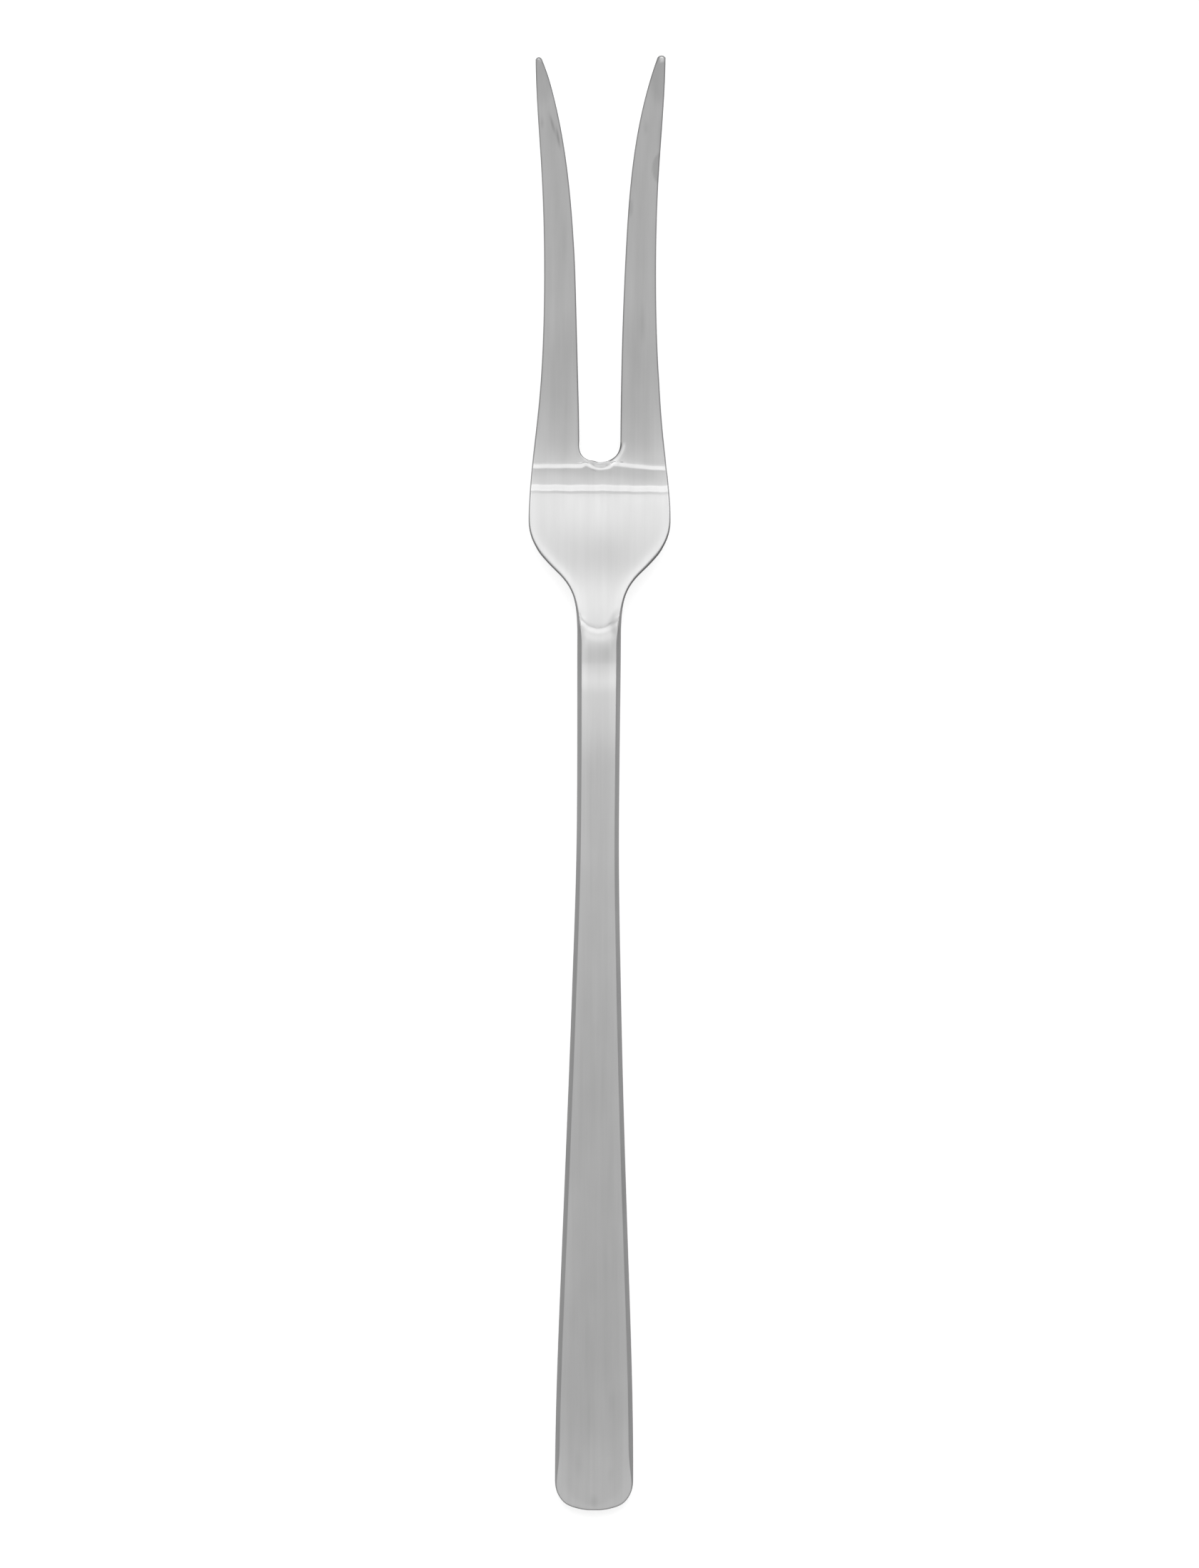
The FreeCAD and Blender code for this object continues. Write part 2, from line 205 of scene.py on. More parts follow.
@dataclass(frozen=True)
class Outline:
    """The fork's outline in plan, right half, in mm. Stations run from the end of the handle."""

    length: float = 210.0
    end_width: float = 11.4
    end_corner: float = 4.3
    end_fullness: float = 0.01
    neck_start: float = 100.0
    neck_width: float = 6.4
    throat: float = 128.6
    throat_radius: float = 9.7
    flank_start: float = 135.277
    flank_end: float = 137.81
    shoulder: float = 142.9
    shoulder_radius: float = 7.4
    shoulder_width: float = 20.6
    slot: float = 154.28
    slot_width: float = 5.86
    tip_middle: float = 8.775
    tip_half: float = 0.65
    tip_radius: float = 0.75
    probe: float = 0.01
    taper_pulls: Pulls = (5.7, 5.7, 4.87, 3.72, 3.2, 3.2)
    outer_pulls: Pulls = (10.3, 10.3, 8.55, 8.0, 8.3, 9.39, 9.425)
    inner_pulls: Pulls = (2.93, 2.93, 3.44, 4.83, 8.125)

    @property
    def tip_start(self) -> float:
        """Station where the round of the tip begins."""
        return self.length - self.tip_radius + math.sqrt(self.tip_radius**2 - self.tip_half**2)

    def outer_half(self, station: float) -> float:
        """Half width of the outer outline at a station past the end corners."""
        if station < self.neck_start:
            return Run(self.end_corner, self.neck_start, self.taper_pulls).at(station)
        if station < self.throat:
            return self.neck_width / 2
        if station < self.flank_start:
            rise = station - self.throat
            centre = self.neck_width / 2 + self.throat_radius
            return centre - math.sqrt(self.throat_radius**2 - rise**2)
        centre = self.shoulder_width / 2 - self.shoulder_radius
        if station < self.flank_end:
            low = self.outer_half(self.flank_start - NUDGE)
            high = self.outer_half(self.flank_end + NUDGE)
            return mix(low, high, (station - self.flank_start) / (self.flank_end - self.flank_start))
        if station < self.shoulder:
            return centre + math.sqrt(self.shoulder_radius**2 - (self.shoulder - station) ** 2)
        return Run(self.shoulder, self.tip_start, self.outer_pulls).at(station)

    def inner_half(self, station: float) -> float:
        """Half of the gap between the tines at a station past the slot's round end."""
        return Run(self.slot, self.tip_start, self.inner_pulls).at(station)

    def edge_spot(self, half: Callable[[float], float], station: float, side: float) -> Spot:
        """A point on an edge that runs along the fork.

        Args:
            half: gives the edge's distance from the middle at a station.
            station: place along the fork, mm.
            side: 1 where the steel ends outwards, -1 where it ends towards the middle.

        Returns:
            The point and the outward direction there.
        """
        slope = (half(station + self.probe) - half(station - self.probe)) / (2 * self.probe)
        norm = side * math.hypot(1.0, slope)
        return Spot(half(station), station, 1.0 / norm, -slope / norm)

    def outer_spot(self, station: float) -> Spot:
        """The outer outline at a station past the end corners."""
        return self.edge_spot(self.outer_half, station, 1.0)

    def inner_spot(self, station: float) -> Spot:
        """The tine's inner outline at a station past the slot's round end."""
        return self.edge_spot(self.inner_half, station, -1.0)

    def corner_spot(self, turn: float) -> Spot:
        """A point on the end corner.

        Args:
            turn: angle round the corner, from the flat end (0) to the side (a quarter turn).

        Returns:
            The point and the outward direction there.
        """
        flat = self.end_width / 2 - self.end_corner
        reach = self.end_corner * (1.0 + self.end_fullness * math.sin(2.0 * turn) ** 2)
        station = self.end_corner - reach * math.cos(turn)
        return Spot(flat + reach * math.sin(turn), station, math.sin(turn), -math.cos(turn))

    def slot_spot(self, turn: float) -> Spot:
        """A point on the slot's round end.

        Args:
            turn: angle round the end, from its lowest point (0) to the side (a quarter turn).

        Returns:
            The point and the direction into the slot there.
        """
        across, along = math.sin(turn), math.cos(turn)
        radius = self.slot_width / 2
        return Spot(radius * across, self.slot - radius * along, -across, along)

    def tip_spot(self, turn: float) -> Spot:
        """A point on the blunt tip.

        Args:
            turn: angle from the tip's middle, negative towards the gap.

        Returns:
            The point and the outward direction there.
        """
        across, along = math.sin(turn), math.cos(turn)
        x = self.tip_middle + self.tip_radius * across
        return Spot(x, self.length - self.tip_radius + self.tip_radius * along, across, along)


@dataclass(frozen=True)
class Profile:
    """The fork in side view: heights above the floor in mm, at stations along it."""

    length: float = 210.0
    rest: float = 7.0
    throat: float = 128.6
    sole: float = 155.0
    end_lift: float = 0.05
    arch_pulls: Pulls = (0.0, 0.0, 1.6, 2.6, 3.95, 4.7, 5.05, 4.203, 3.2)
    head_pulls: Pulls = (3.2, 2.619, 1.3, 0.0, 0.0)
    tine_pulls: Pulls = (0.0, 0.0, 1.5, 5.05, 7.72, 9.05)
    end_thickness: float = 2.1
    neck_thickness: float = 2.8
    root_thickness: float = 2.17
    tip_thickness: float = 0.95
    arch_growth: Pulls = (0.0, 0.0, 0.2, 0.4, 0.6, 0.8, 1.0, 1.0, 1.0)
    tine_growth: Pulls = (0.0, 0.0, 1 / 3, 2 / 3, 8 / 9, 1.0)
    face_start: float = 128.5
    brink: float = 147.25
    brink_height: float = 2.85
    brink_flat: float = 0.55
    brink_ridge: float = 0.022
    step_length: float = 0.72
    step_drop: float = 0.27
    band_length: float = 2.48
    band_drop: float = 0.15
    band_sag: float = 0.03
    lip_length: float = 0.6
    lip_drop: float = 0.12
    runout_sag: float = 0.03
    tongue: float = 127.4
    tongue_radius: float = 3.4
    tongue_width: float = 6.6
    tongue_start: float = 122.5
    tongue_run: float = 3.0
    neck_falls: Wander = (
        Change(0.25, 108.0, 121.0),
        Change(0.17, 118.0, 122.5),
        Change(-0.065, 122.2, 125.2),
        Change(0.04, 125.3, 126.5),
        Change(0.07, 126.5, 127.35),
        Change(-0.015, 127.4, 127.8),
    )
    face_wave: float = 0.069
    wave_fade: Change = Change(0.55, 1.0, 9.0)
    wave_length: float = 13.8
    wave_start: float = 131.3

    @property
    def foot(self) -> float:
        """Station of the foot of the large step."""
        return self.brink + self.step_length

    @property
    def lip(self) -> float:
        """Station of the upper edge of the small step."""
        return self.foot + self.band_length

    @property
    def lip_foot(self) -> float:
        """Station of the foot of the small step."""
        return self.lip + self.lip_length

    def back(self, station: float) -> float:
        """Height of the back at a station."""
        if station < self.rest:
            return self.end_lift * (1.0 - station / self.rest) ** 2
        if station < self.throat:
            return Run(self.rest, self.throat, self.arch_pulls).at(station)
        if station < self.sole:
            return Run(self.throat, self.sole, self.head_pulls).at(station)
        return Run(self.sole, self.length, self.tine_pulls).at(station)

    def tine_face(self, station: float) -> float:
        """Height of the finished face of the tines at a station past the sole."""
        pulls = graded(self.root_thickness, self.tip_thickness, self.tine_growth)
        return self.back(station) + Run(self.sole, self.length, pulls).at(station)

    def blank(self, station: float) -> float:
        """Height of the front at a station before the head is ground."""
        if station < self.rest:
            return self.back(station) + self.end_thickness
        if station < self.throat:
            pulls = graded(self.end_thickness, self.neck_thickness, self.arch_growth)
            return self.back(station) + Run(self.rest, self.throat, pulls).at(station)
        return self.back(station) + self.neck_thickness

    def wave(self, x: float, station: float) -> float:
        """The slow wave that grinding left on the head's face. It dies out towards the sides."""
        turn = 2.0 * math.pi * (station - self.wave_start) / self.wave_length
        return -self.face_wave * math.sin(turn) * (1.0 - self.wave_fade.at(abs(x)))

    def bow(self, x: float, station: float) -> float:
        """How far a line across the neck bows, as the border of the ground face does.

        Args:
            x: place across the fork, mm.
            station: place along the fork, mm.

        Returns:
            How far the line has moved towards the tines there, mm.
        """
        near = ease(self.tongue_start, self.tongue, station)
        near *= 1.0 - ease(self.tongue, self.tongue + self.tongue_run, station)
        edge = min(abs(x), self.tongue_width / 2)
        return near * (self.tongue_radius - math.sqrt(self.tongue_radius**2 - edge**2))

    def ground(self, x: float, station: float) -> float:
        """Height of the ground face, with its two steps.

        Args:
            x: place across the fork, mm.
            station: place along the fork, past the face's start, mm.

        Returns:
            The height above the floor, mm.
        """
        if station < self.brink:
            share = (station - self.face_start) / (self.brink - self.face_start)
            top = self.blank(self.face_start) - total(self.neck_falls, self.face_start)
            ends = mix(self.wave(x, self.face_start), self.wave(x, self.brink), share)
            ridge = self.brink_ridge * (ease(self.brink - self.brink_flat, self.brink, station) - share)
            return mix(top, self.brink_height, share) + self.wave(x, station) - ends + ridge
        foot_height = self.brink_height - self.step_drop
        if station < self.foot:
            return mix(self.brink_height, foot_height, (station - self.brink) / self.step_length)
        lip_height = foot_height - self.band_drop
        if station < self.lip:
            share = (station - self.foot) / self.band_length
            return mix(foot_height, lip_height, share) - self.band_sag * bowl(share)
        root = lip_height - self.lip_drop
        if station < self.lip_foot:
            return mix(lip_height, root, (station - self.lip) / self.lip_length)
        if station < self.sole:
            share = (station - self.lip_foot) / (self.sole - self.lip_foot)
            return mix(root, self.root_thickness, share) - self.runout_sag * bowl(share)
        return self.tine_face(station)

    def front(self, x: float, station: float) -> float:
        """Height of the front face at a place.

        Args:
            x: place across the fork, mm.
            station: place along the fork, mm.

        Returns:
            The height above the floor, mm.
        """
        place = station - self.bow(x, station)
        if place < self.face_start:
            return self.blank(station) - total(self.neck_falls, place)
        return self.ground(x, station)


@dataclass(frozen=True)
class Point:
    """A point of the skin: half width, station, height and distance from the edge, mm."""

    x: float
    station: float
    height: float
    inset: float


@dataclass(frozen=True)
class PaintedSpot:
    """A spot or streak painted on the front. Most are painted shade and highlights, a few uneven tone.
    Tone is the share by which it lightens or darkens.
    """

    x: float
    station: float
    reach_x: float
    reach_y: float
    tone: float
    lean: float = 0.0
    core: float = 0.0

    def tone_at(self, x: float, station: float) -> float:
        """The mark's tone at a place.

        Args:
            x: place across the fork, left negative, mm.
            station: place along the fork, mm.

        Returns:
            The share by which the place is lighter, or darker below zero.
        """
        along = station - self.station
        across = (x - self.x - self.lean * along) / self.reach_x
        return self.tone * (1.0 - ease(self.core, 1.0, math.hypot(across, along / self.reach_y)))


@dataclass(frozen=True)
class PaintedArc:
    """A thin bowed line of painted highlight round a centre, painted shade where its tone is below zero.
    Turns are degrees from straight down.
    """

    x: float
    station: float
    radius: float
    start: float
    stop: float
    reach: float
    tone: float
    fade: float = 12.0

    def tone_at(self, x: float, station: float) -> float:
        """The line's tone at a place.

        Args:
            x: place across the fork, left negative, mm.
            station: place along the fork, mm.

        Returns:
            The share by which the place is lighter, or darker below zero.
        """
        across, along = x - self.x, self.station - station
        turn = math.degrees(math.atan2(across, along))
        ends = ease(self.start - self.fade, self.start, turn)
        ends *= ease(self.stop + self.fade, self.stop, turn)
        return self.tone * ends * hump(self.radius, self.reach, math.hypot(across, along))


# Painted shade and highlights where light falls on the tips, the tines' roots, the shoulders, the step
# edges and the neck, with a few spots of uneven tone.
PAINTED_LIGHT_AND_SPOTS = (
    PaintedSpot(-8.5, 200.2, 0.35, 1.2, -0.12),
    PaintedSpot(-7.02, 200.0, 0.32, 2.1, -0.26, -0.27),
    PaintedSpot(-6.2, 198.05, 0.30, 2.2, -0.30, -0.17),
    PaintedSpot(-6.9, 198.6, 1.1, 2.6, -0.03, -0.2),
    PaintedSpot(-8.5, 206.5, 2.2, 4.5, -0.08, 0.0, 0.4),
    PaintedSpot(8.6, 206.5, 2.2, 4.8, -0.12, 0.0, 0.4),
    PaintedSpot(8.75, 193.7, 1.5, 2.5, -0.17, 0.0, 0.8),
    PaintedSpot(8.9, 197.5, 1.2, 5.0, -0.12),
    PaintedSpot(6.5, 199.5, 0.6, 1.5, -0.08),
    PaintedSpot(4.3, 188.0, 0.4, 1.6, -0.10, 0.0, 0.5),
    PaintedSpot(6.1, 171.5, 0.8, 4.2, -0.08),
    PaintedSpot(-5.2, 183.0, 0.9, 6.0, -0.05),
    PaintedSpot(-6.9, 170.0, 0.7, 7.0, 0.03),
    PaintedSpot(-8.85, 209.68, 0.9, 0.32, -0.34),
    PaintedSpot(-8.75, 209.08, 0.42, 0.3, 0.18),
    PaintedSpot(8.78, 209.35, 0.5, 0.42, 0.38, 0.0, 0.5),
    PaintedSpot(-6.0, 149.3, 4.4, 1.3, 0.05),
    PaintedSpot(6.0, 149.3, 4.4, 1.3, -0.05),
    PaintedSpot(0.5, 149.7, 2.6, 0.6, -0.03),
    PaintedSpot(0.0, 153.6, 13.0, 3.2, -0.04, 0.0, 0.3),
    PaintedSpot(0.0, 162.5, 15.0, 13.0, -0.075, 0.0, 0.4),
    PaintedSpot(0.0, 146.98, 12.0, 0.42, -0.09, 0.0, 0.3),
    PaintedSpot(0.5, 137.0, 6.0, 5.0, -0.05),
    PaintedSpot(1.96, 128.8, 0.8, 1.9, -0.16, 0.5),
    PaintedSpot(2.3, 127.0, 1.0, 1.2, -0.20),
    PaintedSpot(2.15, 127.95, 0.95, 1.3, -0.20, 0.5),
    PaintedSpot(2.3, 125.9, 1.1, 2.6, -0.14),
    PaintedSpot(-2.6, 127.2, 0.7, 1.0, -0.12),
    PaintedSpot(-2.5, 126.4, 0.9, 2.4, -0.12),
    PaintedSpot(1.2, 124.0, 1.6, 2.4, -0.05),
    PaintedSpot(0.0, 123.2, 4.5, 4.2, -0.09, 0.0, 0.2),
    PaintedSpot(0.0, 105.0, 6.0, 9.0, -0.03),
    PaintedSpot(0.0, 36.0, 14.0, 66.0, -0.06, 0.0, 0.3),
    PaintedSpot(5.4, 25.0, 0.7, 30.0, -0.07),
    PaintedSpot(-0.3, 1.3, 0.9, 1.3, -0.08),
    PaintedSpot(-2.6, 7.0, 0.9, 2.6, -0.05),
    PaintedSpot(2.1, 5.2, 0.8, 1.6, -0.04),
    PaintedSpot(-1.0, 13.5, 1.6, 4.0, -0.03),
    PaintedSpot(2.4, 15.5, 0.7, 2.8, -0.04),
    # Painted highlight along the slot's rim with painted shade lines beside it, and painted shade along
    # the border of the neck's ground face.
    PaintedArc(0.15, 152.85, 2.5, -52.0, 60.0, 0.19, 0.06),
    PaintedArc(0.15, 152.85, 2.2, -42.0, 25.0, 0.18, -0.34),
    PaintedArc(0.15, 152.85, 2.86, -42.0, -20.0, 0.15, -0.16),
    PaintedArc(0.0, 154.28, 3.52, 38.0, 80.0, 0.36, 0.30),
    PaintedArc(0.0, 154.28, 3.06, 34.0, 78.0, 0.24, -0.95),
    PaintedArc(0.0, 154.28, 2.95, -60.0, -8.0, 0.14, -0.35),
    PaintedArc(-0.15, 130.12, 2.7, -72.0, 38.0, 0.16, -0.16),
)


@dataclass(frozen=True)
class Row:
    """One row of the fork's skin: where it meets the outer outline and the slot."""

    outer: Spot
    inner: Spot | None = None
    bow: float = 0.0


@dataclass(frozen=True)
class HandWork:
    """What the hand left uneven, as changes of the regular shape, in mm.

    The slot's pulls stand at turns in degrees from straight down. The sizes of the painted shade
    on the flanks and of the painted highlight on the shoulders are tones.
    """

    outline: Outline = field(default_factory=Outline)
    profile: Profile = field(default_factory=Profile)
    slot_reach: float = 1.3
    slot_firm: float = 0.35
    slot_pulls: Wander = (Swell(0.26, -52.0, 40.0), Swell(0.10, 52.0, 34.0), Swell(-0.13, -17.0, 15.0))
    lip_reach: float = 1.5
    lip_wander: Wander = (
        Swell(0.36, -2.0, 0.6),
        Swell(0.30, 2.15, 0.7),
        Change(0.22, 1.5, 2.6),
        Change(-0.42, 2.4, 9.6),
        Change(-0.05, -3.0, -9.6),
        Change(-0.08, 2.5, 6.0),
        Ripple(0.02, 2.3),
    )
    brink_reach: float = 2.2
    brink_wander: Wander = (
        Ripple(0.035, 1.9, 0.6),
        Ripple(0.02, 4.7),
        Swell(-0.05, -4.0, 2.5),
        Change(-0.11, 1.0, 5.0),
    )
    border_reach: float = 2.0
    border_wander: Wander = (Swell(0.25, -2.6, 1.2), Swell(0.12, 1.2, 0.8), Ripple(0.03, 5.1))
    relief: Swell = Swell(-0.26, 0.2, 1.9)
    relief_rise: Pair = (149.2, 150.5)
    relief_fall: Pair = (150.8, 151.2)
    end_wear: Swell = Swell(0.15, 2.6, 2.0)
    tip_narrow: Change = Change(0.25, 178.0, 205.0)
    tine_narrow: Swell = Swell(0.12, 168.0, 14.0)
    tip_short: Change = Change(0.33, 206.0, 210.0)
    widening: Wander = (Swell(0.034, 136.3, 3.2), Swell(0.03, 129.6, 2.8), Swell(-0.033, 101.0, 26.0))
    right_trim: Swell = Swell(0.17 / 9.0, 154.0, 10.0)
    right_side: Pair = (0.0, 9.0)
    bend: Wander = (Change(-0.25, 128.0, 45.0), Change(-0.11, 150.0, 200.0))
    # Painted shade along the flanks' edges and a painted highlight along the shoulders' edges.
    flank_shade_left: Swell = Swell(0.40, 136.5, 8.5)
    flank_shade_right: Swell = Swell(0.75, 136.5, 8.5)
    shoulder_highlight: Swell = Swell(0.28, 147.0, 7.0)
    line_width: Pair = (0.12, 0.36)

    def slot_pull(self, x: float, station: float) -> Pair:
        """Moves a place near the slot's round end to where the file left it.

        Args:
            x: place across the fork, left negative, mm.
            station: place along the fork, mm.

        Returns:
            The moved place.
        """
        radius = self.outline.slot_width / 2
        across, along = x, self.outline.slot - station
        reach = math.hypot(across, along)
        if along < 0.0 or reach > radius + self.slot_reach:
            return x, station
        pull = total(self.slot_pulls, math.degrees(math.atan2(across, along)))
        pull *= 1.0 - ease(radius + self.slot_firm, radius + self.slot_reach, reach)
        return x + across / reach * pull, station - along / reach * pull

    def shift(self, x: float, station: float) -> float:
        """How far the edges of the steps, the neck's border and the handle's end wander at a place.

        Args:
            x: place across the fork, left negative, mm.
            station: place along the fork, mm.

        Returns:
            The distance along the fork, mm.
        """
        p = self.profile
        round_slot = ease(*self.relief_rise, station) * (1.0 - ease(*self.relief_fall, station))
        return (
            total(self.lip_wander, x) * hump(p.lip + p.lip_length / 2, self.lip_reach, station)
            + total(self.brink_wander, x) * hump(p.brink, self.brink_reach, station)
            + total(self.border_wander, x) * hump(p.tongue, self.border_reach, station)
            + self.relief.at(x) * round_slot
            + self.end_wear.at(abs(x)) * (1.0 - ease(0.0, self.outline.end_corner, station))
        )

    def tip_wear(self, x: float, station: float) -> Pair:
        """Takes a little off the left tine's inner edge, and shortens its tip.

        Args:
            x: place across the fork, left negative, mm.
            station: place along the fork, mm.

        Returns:
            The moved place.
        """
        if x > 0.0 or station < self.outline.slot:
            return x, station
        inner, outer = self.outline.inner_half(station), self.outline.outer_half(station)
        share = min(max((outer + x) / (outer - inner), 0.0), 1.0)
        pull = self.tip_narrow.at(station) + self.tine_narrow.at(station)
        return x - pull * share, station - self.tip_short.at(station)

    def widen(self, x: float, station: float) -> float:
        """How much wider or narrower the fork came out at a place, as a factor on its half width."""
        trim = self.right_trim.at(station) * ease(*self.right_side, x)
        return 1.0 + total(self.widening, station) - trim

    def edge_shade_and_highlight(self, x: float, station: float, inset: float) -> float:
        """Painted shade in a thin line along the flanks, painted highlight along the shoulders.

        Args:
            x: place across the fork, left negative, mm.
            station: place along the fork, mm.
            inset: distance from the nearest edge, mm.

        Returns:
            The share by which the place is lighter, or darker below zero.
        """
        flank = self.flank_shade_right if x > 0.0 else self.flank_shade_left
        tone = self.shoulder_highlight.at(station) - flank.at(station)
        return tone * (1.0 - ease(*self.line_width, inset))

    def place(self, x: float, station: float) -> Pair:
        """Moves a place of the regular shape to where the hand left it."""
        x, station = self.tip_wear(*self.slot_pull(x, station + self.shift(x, station)))
        return x * self.widen(x, station) + total(self.bend, station), station


@dataclass
class Fork:
    """The whole fork, one skin drawn over rows of cross-sections and mirrored. Sizes are in mm.

    A run is the two stations between which a bevel changes, and the sizes that end in row are the
    distances between the rows of a stretch.
    """

    outline: Outline = field(default_factory=Outline)
    profile: Profile = field(default_factory=Profile)
    hand_work: HandWork = field(default_factory=HandWork)
    handle_bevel: float = 0.62
    end_bevel: float = 0.12
    head_bevel: float = 0.17
    tip_bevel: float = 0.28
    bevel_angle: float = 37.0
    rim_height: float = 0.045
    rim_reach: float = 1.1
    rim_rise: Pair = (127.5, 130.5)
    rim_fall: Pair = (140.0, 149.0)
    slot_bevel: float = 0.12
    handle_run: Pair = (2.0, 9.0)
    head_run: Pair = (123.0, 133.0)
    slot_run: Pair = (152.0, 156.0)
    tip_run: Pair = (208.5, 209.6)
    edge_soft: float = 0.07
    edge_lean: float = 0.2
    trim: float = 0.05
    back_round: float = 0.5
    back_points: int = 6
    face_columns: int = 22
    column_pull: float = 0.12
    corner_rows: int = 14
    slot_rows: int = 16
    tip_rows: int = 6
    arch_end: float = 108.0
    border_start: float = 122.0
    handle_row: float = 1.2
    neck_row: float = 0.8
    border_row: float = 0.22
    head_row: float = 0.6
    brink_row: float = 0.12
    step_row: float = 0.24
    band_row: float = 0.22
    lip_row: float = 0.2
    tine_row: float = 0.4
    crease: float = 0.04
    weld: float = 0.002
    shading_weight: int = 100

    def bevel(self, station: float) -> float:
        """Width of the bevel along the front edge at a station."""
        width = mix(self.end_bevel, self.handle_bevel, ease(*self.handle_run, station))
        width = mix(width, self.head_bevel, ease(*self.head_run, station))
        return mix(width, self.tip_bevel, ease(*self.tip_run, station))

    def inner_bevel(self, station: float) -> float:
        """Width of the bevel along the slot's edge at a station."""
        return mix(self.slot_bevel, self.bevel(station), ease(*self.slot_run, station))

    def soft(self, bevel: float) -> float:
        """How far the two edges of a bevel are rounded, at most a third of it, mm."""
        return min(self.edge_soft, bevel / 3.0)

    def side(self, bevel: float) -> list[Pair]:
        """Section of the side from the front face round to the back.

        Args:
            bevel: width of the bevel along the front edge, mm.

        Returns:
            Points as distance inside the outline and height share: drops below the front are
            positive, heights above the back are negative.
        """
        soft = self.soft(bevel)
        fall = math.tan(math.radians(self.bevel_angle))
        points = [
            (bevel + soft, 0.0),
            (bevel + soft / 4, soft / 4 * fall),
            (bevel - soft, soft * fall),
            (soft, (bevel - soft) * fall),
            (soft / 4, (bevel - soft / 4) * fall),
            (0.0, bevel * fall + soft),
        ]
        for i in range(self.back_points):
            turn = math.pi / 2 * i / (self.back_points - 1)
            lift = self.back_round * (1.0 - math.sin(turn))
            points.append((self.back_round * (1.0 - math.cos(turn)), -max(lift, NUDGE)))
        return points

    def stations(self) -> list[float]:
        """Stations of the rows from the end corners to the slot, with a pair at each crease."""
        p = self.profile
        border_end = p.tongue + p.tongue_run
        stations = []
        for start, stop, step in (
            (self.outline.end_corner, self.arch_end, self.handle_row),
            (self.arch_end, self.border_start, self.neck_row),
            (self.border_start, border_end, self.border_row),
            (border_end, p.brink - p.brink_flat, self.head_row),
            (p.brink - p.brink_flat, p.brink, self.brink_row),
            (p.brink, p.foot, self.step_row),
            (p.foot, p.lip, self.band_row),
            (p.lip, p.lip_foot, self.lip_row),
        ):
            count = math.ceil((stop - start) / step)
            stations += [mix(start, stop, i / count) for i in range(count)]
        for crease in (p.brink, p.foot, p.lip, p.lip_foot):
            stations += [crease - self.crease, crease + self.crease]
            stations = [station for station in stations if abs(station - crease) > self.crease / 2]
        return sorted(stations)

    def tine_rows(self) -> list[Row]:
        """The rows of the tines in order, from the slot's lowest point to the blunt tip."""
        o = self.outline
        rows = []
        for i in range(self.slot_rows):
            inner = o.slot_spot(math.pi / 2 * i / self.slot_rows)
            rows.append(Row(o.outer_spot(inner.station), inner))
        count = math.ceil((o.tip_start - o.slot) / self.tine_row)
        for i in range(count):
            station = mix(o.slot, o.tip_start, i / count)
            rows.append(Row(o.outer_spot(station), o.inner_spot(station)))
        half_turn = math.asin(o.tip_half / o.tip_radius)
        for i in range(self.tip_rows + 1):
            turn = half_turn * (1.0 - i / self.tip_rows)
            rows.append(Row(o.tip_spot(turn), o.tip_spot(-turn)))
        return rows

    def handle_rows(self) -> list[Row]:
        """The rows of the end corner, the handle and the head in order, up to the slot."""
        turns = [math.pi / 2 * i / self.corner_rows for i in range(self.corner_rows)]
        corner = [Row(self.outline.corner_spot(turn)) for turn in turns]
        return corner + [self.plain_row(station) for station in self.stations()]

    def plain_row(self, station: float) -> Row:
        """A row across the handle or head, which bows where the border of the ground face does."""
        bow = self.profile.bow(self.outline.neck_width / 2 - self.handle_bevel, station)
        return Row(self.outline.outer_spot(station + bow), None, bow)

    def column_share(self, column: int) -> float:
        """Where a column stands across the face. Columns are closer together at both sides."""
        share = column / self.face_columns
        return share - self.column_pull * math.sin(2.0 * math.pi * share)

    def rim(self, spot: Spot, distance: float) -> float:
        """Height of the rim that stamping raised along the head's edge.

        Args:
            spot: the nearest place on the outer outline.
            distance: distance inside the outline, mm.

        Returns:
            The rise above the face, mm.
        """
        along = ease(*self.rim_rise, spot.station) * (1.0 - ease(*self.rim_fall, spot.station))
        return self.rim_height * along * ease(self.rim_reach, self.bevel(spot.station), distance)

    def inset(self, row: Row, x: float) -> float:
        """Distance of a place on a row from the nearest edge.

        Args:
            row: the row.
            x: distance of the place from the middle, mm.

        Returns:
            The distance, mm.
        """
        distance = (row.outer.x - x) * max(row.outer.out_x, self.edge_lean)
        if row.inner:
            distance = min(distance, (x - row.inner.x) * max(-row.inner.out_x, self.edge_lean))
        return distance

    def face_points(self, row: Row) -> list[Pair]:
        """Places across the face, from the middle or the slot to the outer bevel.

        Args:
            row: the row that they stand on.

        Returns:
            Each place as distance from the middle and station, mm.
        """
        bevel = self.bevel(row.outer.station)
        x_out, y_out = row.outer.inside(bevel + self.soft(bevel) + self.trim)
        if row.inner:
            bevel = self.inner_bevel(row.inner.station)
            x_in, y_in = row.inner.inside(bevel + self.soft(bevel) + self.trim)
        else:
            x_in, y_in = 0.0, y_out - row.bow
        places = []
        for i in range(self.face_columns + 1):
            share = self.column_share(i)
            rise = share * share if row.bow else share
            places.append((mix(x_in, x_out, share), mix(y_in, y_out, rise)))
        return places

    def side_points(self, spot: Spot, bevel: float) -> list[Point]:
        """The side's section set at one place of the outline, from the front to the back.

        Args:
            spot: the place on the outline.
            bevel: width of the bevel there, mm.

        Returns:
            The points of the section.
        """
        brow = spot.inside(bevel + self.soft(bevel) + self.trim)[1]
        front = self.profile.front(spot.x, brow) + self.rim(spot, 0.0)
        back = self.profile.back(spot.inside(self.back_round + self.trim)[1])
        points = []
        for inside, drop in self.side(bevel):
            x, station = spot.inside(inside + self.trim)
            points.append(Point(x, station, front - drop if drop >= 0 else back - drop, inside))
        return points

